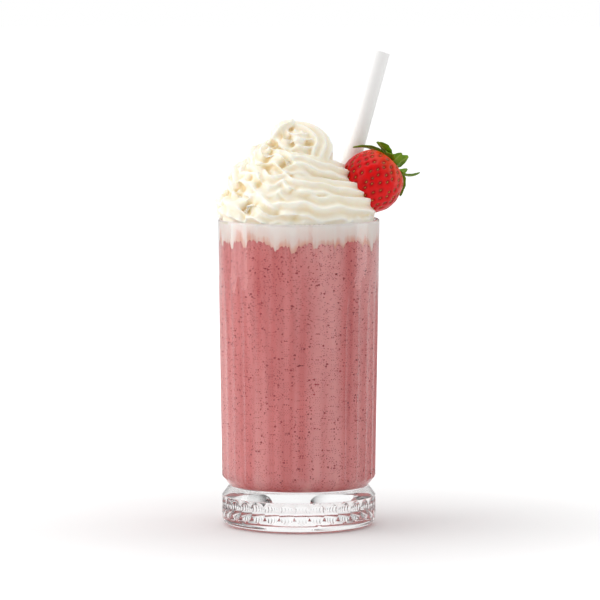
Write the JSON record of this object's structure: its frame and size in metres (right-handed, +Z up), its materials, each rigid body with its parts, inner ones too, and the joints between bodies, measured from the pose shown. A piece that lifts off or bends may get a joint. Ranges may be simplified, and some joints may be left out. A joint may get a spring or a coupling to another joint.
{
  "type": "strawberry milkshake in a glass",
  "caption": "Strawberry milkshake in a tall fluted glass, topped with a piped whipped cream swirl, a fresh strawberry and a white drinking straw.",
  "frame": {"origin": "Centre of the glass's underside, where its axis meets the table", "axes": "+Z up along the glass's axis, +X to the side that the straw and the strawberry lean to, -Y towards the viewer's front"},
  "size_m": [0.0894, 0.0711, 0.2058],
  "materials": {
    "glass": "clear pressed glass with polished cuts",
    "milkshake": "opaque pink milkshake with dark red specks of fruit",
    "cream": "soft satin whipped cream",
    "straw": "smooth white",
    "strawberry": "glossy red skin with yellow seeds in pits",
    "leaves": "fresh green leaves"
  },
  "bodies": {
    "root": {"glass": "glass", "milkshake": "milkshake", "whipped_cream": "cream", "straw": "straw", "strawberry": "strawberry", "strawberry_leaves": "leaves"}
  },
  "joints": []
}
